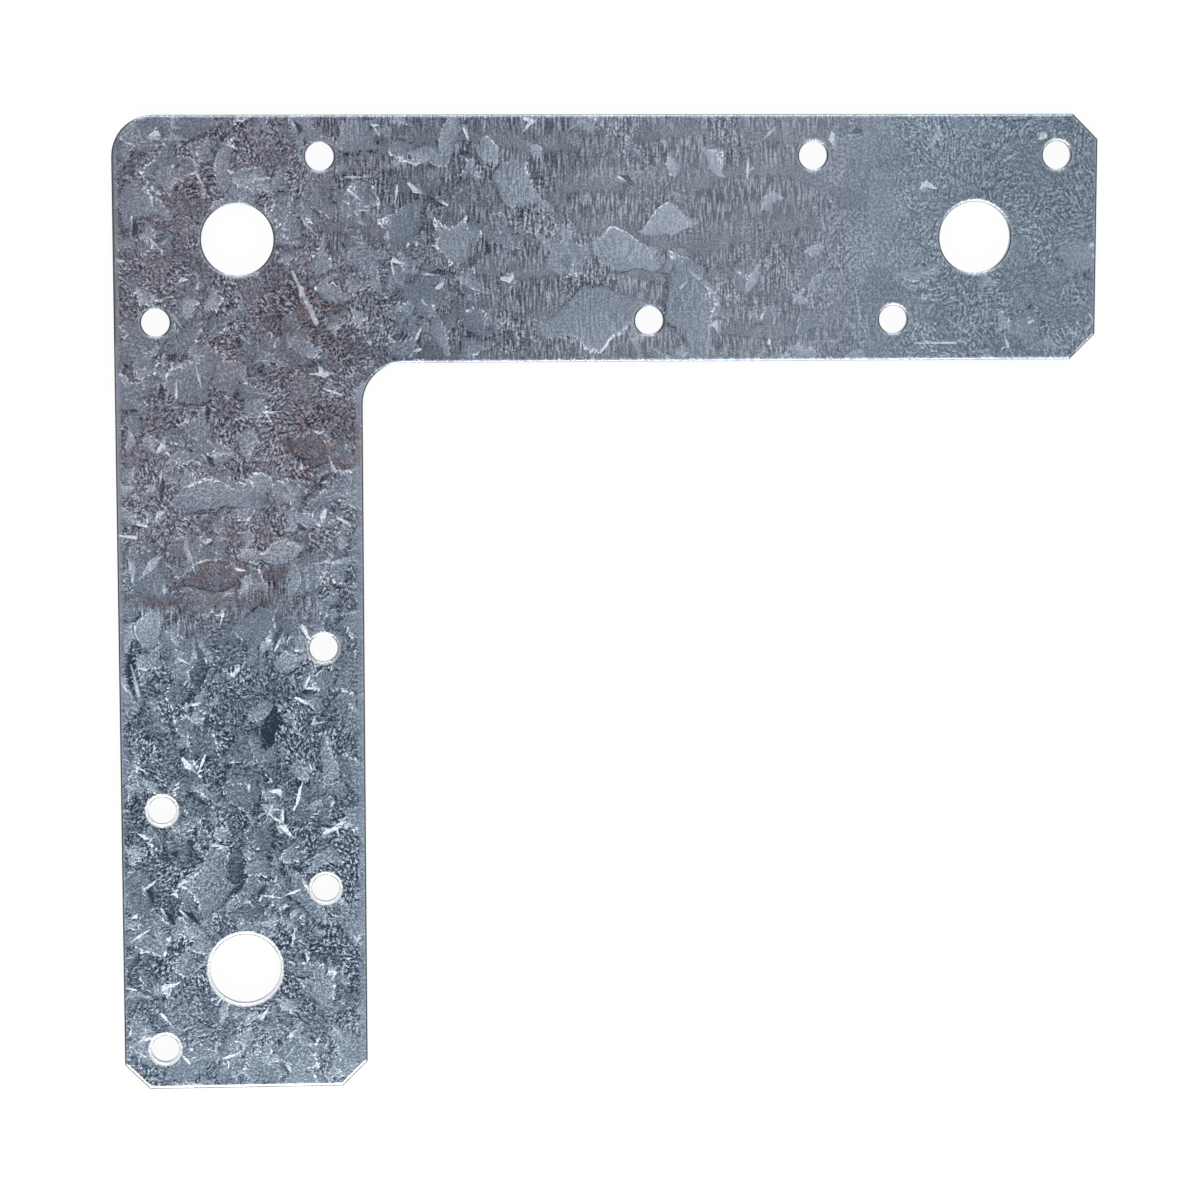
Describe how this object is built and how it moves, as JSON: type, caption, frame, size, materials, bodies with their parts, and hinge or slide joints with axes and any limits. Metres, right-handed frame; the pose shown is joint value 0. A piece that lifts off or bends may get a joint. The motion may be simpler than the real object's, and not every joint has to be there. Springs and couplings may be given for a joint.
{
  "type": "l strap",
  "caption": "Flat L-shaped tie strap of galvanised sheet steel, punched with bolt holes and staggered nail holes, for joining framing members at a right angle.",
  "frame": {"origin": "centre of the corner bolt hole on the back face", "axes": "+X along one leg, -Y along the other, +Z out of the front face; the strap lies on its back face"},
  "size_m": [0.1524, 0.1524, 0.0019],
  "materials": {
    "galvanised_steel": "hot-dip galvanised, dull grey with a visible spangle, scuffed in handling"
  },
  "bodies": {
    "root": {"l_strap": "galvanised_steel"}
  },
  "joints": []
}
